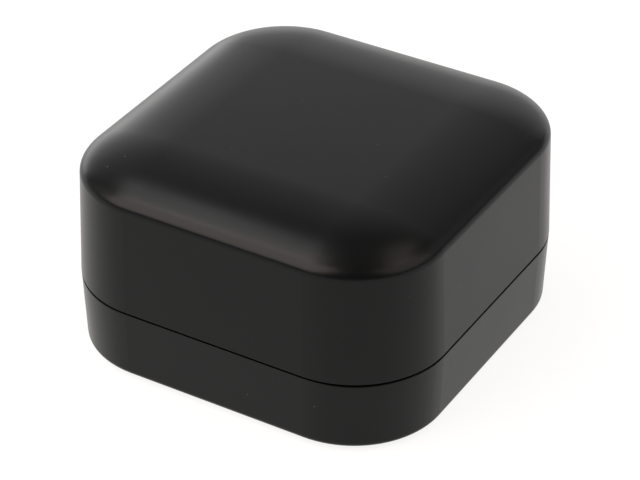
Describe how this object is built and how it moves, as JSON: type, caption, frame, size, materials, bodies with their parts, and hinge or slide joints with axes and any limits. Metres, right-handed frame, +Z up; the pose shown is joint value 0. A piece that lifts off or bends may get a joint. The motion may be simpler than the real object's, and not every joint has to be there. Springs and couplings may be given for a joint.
{
  "type": "mesh wifi node",
  "caption": "Low rounded-square table-top mesh wifi node: dark satin cover with a wide rolled edge over a tapered base, ports recessed at the rear.",
  "frame": {"origin": "centre of the footprint, on the plane the feet stand on", "axes": "+Z up through the cover, +Y out of the port side (rear), -Y the plain front, +X to the right seen from the front"},
  "size_m": [0.1, 0.1, 0.0563],
  "materials": {
    "cover_black": "fine satin, dark",
    "base_black": "satin, dark",
    "panel_black": "fine matt texture",
    "foot_rubber": "matt",
    "screw_steel": "zinc plated",
    "small_screw_steel": "nickel plated",
    "label_film": "satin film, blank",
    "board_laminate": "solder mask",
    "chip_epoxy": "matt moulding compound",
    "thermal_silicone": "soft, matt",
    "sink_aluminium": "extruded",
    "pin_nylon": "natural nylon",
    "tin_plate": "tin plated sheet",
    "nickel_shell": "stamped, nickel plated",
    "jack_plastic": "moulded",
    "gold_contact": "gold flash",
    "ferrite": "pressed ferrite",
    "capacitor_can": "drawn can",
    "tongue_plastic": "moulded",
    "button_plastic": "satin",
    "reset_plastic": "satin",
    "switch_plastic": "moulded",
    "plunger_plastic": "moulded",
    "led_epoxy": "clear yellowish epoxy",
    "light_pipe": "clear acrylic, frosted",
    "carrier_plastic": "moulded",
    "antenna_laminate": "black laminate",
    "antenna_copper": "bare copper",
    "coax_jacket": "fluoropolymer"
  },
  "bodies": {
    "housing": {"top_cover": "cover_black", "base_shell": "base_black", "rear_port_panel": "panel_black", "rubber_feet": "foot_rubber", "housing_screws": "screw_steel", "rating_label": "label_film", "main_board": "board_laminate", "board_screws": "small_screw_steel", "processor_chip": "chip_epoxy", "thermal_pad": "thermal_silicone", "heatsink": "sink_aluminium", "heatsink_pins": "pin_nylon", "shield_fences": "tin_plate", "shield_lids": "tin_plate", "radio_chips": "chip_epoxy", "memory_chips": "chip_epoxy", "flash_chip": "chip_epoxy", "ethernet_chip": "chip_epoxy", "ethernet_transformers": "ferrite", "power_inductors": "ferrite", "power_capacitors": "capacitor_can", "ethernet_jack_shells": "nickel_shell", "ethernet_jack_inserts": "jack_plastic", "ethernet_jack_contacts": "gold_contact", "usb_c_shell": "nickel_shell", "usb_c_tongue": "tongue_plastic", "usb_c_contacts": "gold_contact", "sync_switch_body": "switch_plastic", "reset_switch_body": "switch_plastic", "status_led": "led_epoxy", "status_light_pipe": "light_pipe", "antenna_carrier": "carrier_plastic", "carrier_screws": "small_screw_steel", "antenna_boards": "antenna_laminate", "antenna_foils_low_band": "antenna_copper", "antenna_foils_high_band": "antenna_copper", "coax_right_rear": "coax_jacket", "coax_left_rear": "coax_jacket", "coax_left_front": "coax_jacket", "coax_right_front": "coax_jacket", "coax_plugs": "gold_contact", "coax_sockets": "gold_contact"},
    "sync_button": {"sync_button": "button_plastic", "sync_switch_plunger": "plunger_plastic"},
    "reset_button": {"reset_button": "reset_plastic", "reset_switch_plunger": "plunger_plastic"}
  },
  "joints": [
    {"name": "sync_button_press", "type": "slide", "parent": "housing", "child": "sync_button", "axis": [0, -1, 0], "range_m": [0, 0.0006], "stiffness_N_per_m": 3000},
    {"name": "reset_button_press", "type": "slide", "parent": "housing", "child": "reset_button", "axis": [0, -1, 0], "range_m": [0, 0.0005], "stiffness_N_per_m": 3600}
  ]
}
